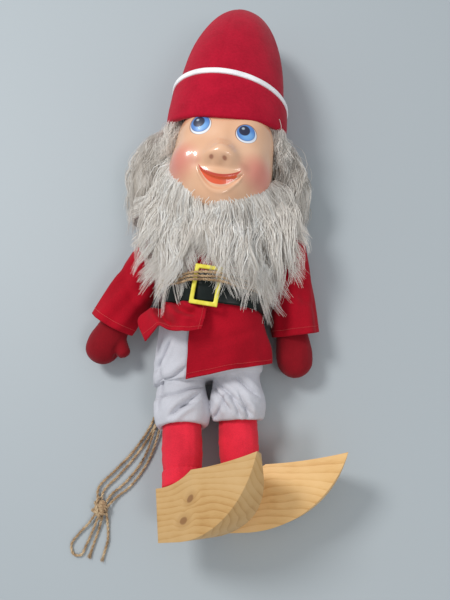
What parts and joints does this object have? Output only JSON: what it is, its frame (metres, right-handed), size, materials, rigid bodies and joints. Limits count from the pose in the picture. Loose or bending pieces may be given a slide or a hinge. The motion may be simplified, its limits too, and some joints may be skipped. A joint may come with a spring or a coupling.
{
  "type": "nisse doll",
  "caption": "Stuffed nisse doll lying on its back, with felt cone hat, moulded face, mohair beard, coat, belt with buckle, knee breeches and sawn wooden clogs.",
  "frame": {"origin": "centre of the doll's outline on the surface it lies on, without its free twine", "axes": "+Z out of the belly, +Y from the clogs to the hat's tip, +X the doll's left side"},
  "size_m": [0.2912, 0.661, 0.1431],
  "materials": {
    "felt": "thick pressed felt",
    "coat_cloth": "matt woven cotton",
    "red_knit": "matt cotton",
    "breeches_cotton": "pale grey cotton",
    "white_trim": "white braid",
    "belt_vinyl": "black coated cloth",
    "buckle_plastic": "yellow moulded plastic",
    "face_plastic": "painted moulded plastic",
    "mohair": "wavy grey fibre",
    "pine": "sanded bare pine",
    "twine": "twisted plant fibre",
    "stuffed_cloth": "stuffed cotton"
  },
  "bodies": {
    "torso": {"trunk": "stuffed_cloth", "coat_body": "coat_cloth", "breeches_seat": "breeches_cotton", "belt": "belt_vinyl", "buckle": "buckle_plastic", "waist_twine": "twine", "coat_front_left": "coat_cloth", "coat_front_right": "coat_cloth", "coat_back": "coat_cloth", "tail_strand_1": "twine", "tail_strand_2": "twine", "tail_strand_3": "twine", "tail_strand_4": "twine", "tail_knot": "twine", "tail_loop": "twine", "tail_end_1": "twine", "tail_end_2": "twine"},
    "neck": {"neck": "stuffed_cloth"},
    "head": {"head_core": "stuffed_cloth", "face_mask": "face_plastic", "hat_crown": "felt", "hat_cuff": "felt", "hat_stripe": "white_trim", "hair_back": "mohair", "hair_right": "mohair", "hair_left": "mohair", "beard": "mohair"},
    "arm_right": {"sleeve_right": "coat_cloth", "arm_right": "red_knit"},
    "arm_left": {"sleeve_left": "coat_cloth", "arm_left": "red_knit"},
    "leg_right": {"breeches_leg_right": "breeches_cotton", "stocking_right": "red_knit"},
    "leg_left": {"breeches_leg_left": "breeches_cotton", "stocking_left": "red_knit"},
    "clog_right": {"foot_right": "red_knit", "clog_right": "pine"},
    "clog_left": {"foot_left": "red_knit", "clog_left": "pine"}
  },
  "joints": [
    {"name": "head_turn", "type": "hinge", "parent": "torso", "child": "neck", "pos_m": [-0.00119, 0.02306, 0.05], "axis": [0, 1, 0], "range_deg": [-25, 25], "deforming": ["beard", "hair_right", "hair_left"]},
    {"name": "head_nod", "type": "hinge", "parent": "neck", "child": "head", "pos_m": [-0.00119, 0.02306, 0.05], "axis": [1, 0, 0], "range_deg": [-5, 10], "deforming": ["beard", "hair_right", "hair_left"]},
    {"name": "arm_swing_right", "type": "hinge", "parent": "torso", "child": "arm_right", "pos_m": [-0.07319, -0.00994, 0.034], "axis": [-1, 0, 0], "range_deg": [-20, 80]},
    {"name": "arm_swing_left", "type": "hinge", "parent": "torso", "child": "arm_left", "pos_m": [0.07401, -0.00094, 0.034], "axis": [-1, 0, 0], "range_deg": [-20, 80]},
    {"name": "hip_right", "type": "hinge", "parent": "torso", "child": "leg_right", "pos_m": [-0.03001, -0.15668, 0.033], "axis": [-1, 0, 0], "range_deg": [0, 80], "deforming": ["breeches_seat", "coat_back", "coat_front_left", "coat_front_right"]},
    {"name": "hip_left", "type": "hinge", "parent": "torso", "child": "leg_left", "pos_m": [0.02868, -0.1442, 0.033], "axis": [-0.6157, 0, 0.788], "range_deg": [0, 60], "deforming": ["breeches_seat", "coat_back", "coat_front_left", "coat_front_right"]},
    {"name": "ankle_right", "type": "hinge", "parent": "leg_right", "child": "clog_right", "pos_m": [-0.01605, -0.26274, 0.04784], "axis": [-0.1293, 0.982, -0.1374], "range_deg": [-45, 0]},
    {"name": "ankle_left", "type": "hinge", "parent": "leg_left", "child": "clog_left", "pos_m": [0.03994, -0.25136, 0.02565], "axis": [-0.1043, 0.9922, 0.068], "range_deg": [-35, 0]}
  ]
}
